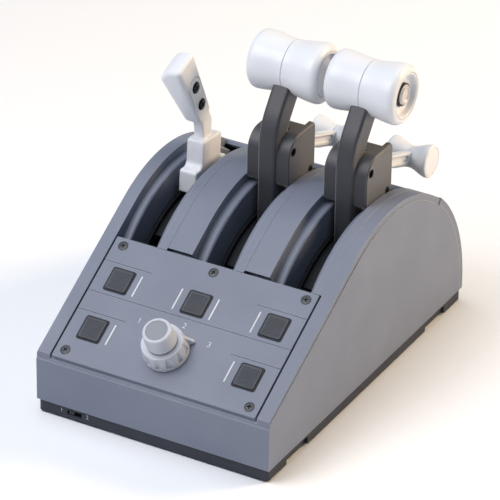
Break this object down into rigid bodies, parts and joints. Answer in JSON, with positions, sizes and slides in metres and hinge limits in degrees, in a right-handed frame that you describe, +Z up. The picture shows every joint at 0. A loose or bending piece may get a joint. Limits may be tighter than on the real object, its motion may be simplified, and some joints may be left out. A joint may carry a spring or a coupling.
{
  "type": "throttle quadrant",
  "caption": "Desktop throttle quadrant: a curved case with a speed brake lever, thrust levers with reverse levers, and a sloping key panel with a selector knob.",
  "frame": {"origin": "on the surface it stands on, under the middle of the case", "axes": "+X to the pilot's right, +Y away from the pilot, +Z up"},
  "size_m": [0.16, 0.25, 0.1971],
  "materials": {
    "case_grey": "satin moulded grey",
    "base_black": "fine texture",
    "liner_black": "matt",
    "key_rubber": "cross-hatched",
    "arm_slate": "fine matt paint",
    "grip_white": "satin",
    "grip_button_pearl": "satin",
    "lever_white": "satin paint",
    "dial_grey": "satin",
    "cap_grey": "matt",
    "screw_black": "blackened",
    "steel": "bright",
    "brass": "plain",
    "inner_plastic": "plain",
    "slider_black": "satin",
    "board_green": "plain",
    "rubber": "matt"
  },
  "bodies": {
    "case": {"ballast_plate": "steel", "base_screws": "screw_black", "base_tray": "base_black", "button_board": "board_green", "control_panel": "case_grey", "data_inlet": "steel", "encoder_case": "inner_plastic", "gate_liner": "liner_black", "lever_gate": "case_grey", "main_board": "board_green", "mode_switch_case": "inner_plastic", "outer_housing": "case_grey", "panel_screws": "screw_black", "pivot_brackets": "inner_plastic", "pivot_shaft": "steel", "rear_cover": "case_grey", "rib_cover_left": "case_grey", "rib_cover_right": "case_grey", "rubber_feet": "rubber", "sensor_boards": "board_green", "shaft_spacers": "inner_plastic", "threaded_inserts": "brass"},
    "thrust_1": {"thrust_arm_1": "arm_slate", "dust_shield_1": "liner_black", "reverser_housing_left_1": "arm_slate", "reverser_housing_right_1": "arm_slate", "grip_left_1": "grip_white", "grip_right_1": "grip_white", "reverser_pins_1": "steel", "grip_collar_1": "liner_black"},
    "reverse_1": {"reverse_lever_1": "lever_white", "reverse_knob_left_1": "grip_white", "reverse_knob_right_1": "grip_white"},
    "grip_key_1": {"grip_button_1": "grip_button_pearl"},
    "thrust_2": {"thrust_arm_2": "arm_slate", "dust_shield_2": "liner_black", "reverser_housing_left_2": "arm_slate", "reverser_housing_right_2": "arm_slate", "grip_left_2": "grip_white", "grip_right_2": "grip_white", "reverser_pins_2": "steel", "grip_collar_2": "liner_black"},
    "reverse_2": {"reverse_lever_2": "lever_white", "reverse_knob_left_2": "grip_white", "reverse_knob_right_2": "grip_white"},
    "grip_key_2": {"grip_button_2": "grip_button_pearl"},
    "speed_brake": {"speed_brake_arm": "grip_white", "speed_brake_paddle": "grip_white", "speed_brake_screws": "screw_black", "speed_brake_shield": "liner_black"},
    "key_1": {"panel_button_1": "key_rubber"},
    "key_2": {"panel_button_2": "key_rubber"},
    "key_3": {"panel_button_3": "key_rubber"},
    "key_4": {"panel_button_4": "key_rubber"},
    "key_5": {"panel_button_5": "key_rubber"},
    "dial": {"selector_dial": "dial_grey"},
    "knob": {"selector_knob": "dial_grey", "encoder_shaft": "steel"},
    "cap": {"selector_cap": "cap_grey"},
    "mode_slider": {"mode_switch_slider": "slider_black"}
  },
  "joints": [
    {"name": "speed_brake_hinge", "type": "hinge", "parent": "case", "child": "speed_brake", "pos_m": [-0.0566, 0.025, 0.014], "axis": [1, 0, 0], "range_deg": [-17, 32]},
    {"name": "thrust_hinge_1", "type": "hinge", "parent": "case", "child": "thrust_1", "pos_m": [-0.00335, 0.025, 0.014], "axis": [1, 0, 0], "range_deg": [-20, 34]},
    {"name": "reverse_hinge_1", "type": "hinge", "parent": "thrust_1", "child": "reverse_1", "pos_m": [-0.00335, 0.0238, 0.1333], "axis": [1, 0, 0], "range_deg": [0, 30], "stiffness_Nm_per_rad": 0.12, "springref_deg": -20.05},
    {"name": "grip_key_slide_1", "type": "slide", "parent": "thrust_1", "child": "grip_key_1", "axis": [1, 0, 0], "range_m": [0, 0.0012], "stiffness_N_per_m": 900, "springref_m": -0.001},
    {"name": "thrust_hinge_2", "type": "hinge", "parent": "case", "child": "thrust_2", "pos_m": [0.0499, 0.025, 0.014], "axis": [1, 0, 0], "range_deg": [-20, 34]},
    {"name": "reverse_hinge_2", "type": "hinge", "parent": "thrust_2", "child": "reverse_2", "pos_m": [0.0499, 0.0238, 0.1333], "axis": [1, 0, 0], "range_deg": [0, 30], "stiffness_Nm_per_rad": 0.12, "springref_deg": -20.05},
    {"name": "grip_key_slide_2", "type": "slide", "parent": "thrust_2", "child": "grip_key_2", "axis": [-1, 0, 0], "range_m": [0, 0.0012], "stiffness_N_per_m": 900, "springref_m": -0.001},
    {"name": "key_slide_1", "type": "slide", "parent": "case", "child": "key_1", "axis": [0, 0.5, -0.866], "range_m": [0, 0.0012], "stiffness_N_per_m": 900, "springref_m": -0.001},
    {"name": "key_slide_2", "type": "slide", "parent": "case", "child": "key_2", "axis": [0, 0.5, -0.866], "range_m": [0, 0.0012], "stiffness_N_per_m": 900, "springref_m": -0.001},
    {"name": "key_slide_3", "type": "slide", "parent": "case", "child": "key_3", "axis": [0, 0.5, -0.866], "range_m": [0, 0.0012], "stiffness_N_per_m": 900, "springref_m": -0.001},
    {"name": "key_slide_4", "type": "slide", "parent": "case", "child": "key_4", "axis": [0, 0.5, -0.866], "range_m": [0, 0.0012], "stiffness_N_per_m": 900, "springref_m": -0.001},
    {"name": "key_slide_5", "type": "slide", "parent": "case", "child": "key_5", "axis": [0, 0.5, -0.866], "range_m": [0, 0.0012], "stiffness_N_per_m": 900, "springref_m": -0.001},
    {"name": "dial_turn", "type": "hinge", "parent": "case", "child": "dial", "pos_m": [-0.0023, -0.10574, 0.0586], "axis": [0, -0.5, 0.866], "range_deg": [0, 100]},
    {"name": "knob_turn", "type": "hinge", "parent": "case", "child": "knob", "pos_m": [-0.0023, -0.10924, 0.06467], "axis": [0, -0.5, 0.866], "continuous": true},
    {"name": "cap_slide", "type": "slide", "parent": "knob", "child": "cap", "axis": [0, 0.5, -0.866], "range_m": [0, 0.001], "stiffness_N_per_m": 700, "springref_m": -0.001},
    {"name": "mode_slide", "type": "slide", "parent": "case", "child": "mode_slider", "axis": [1, 0, 0], "range_m": [0, 0.004]}
  ]
}
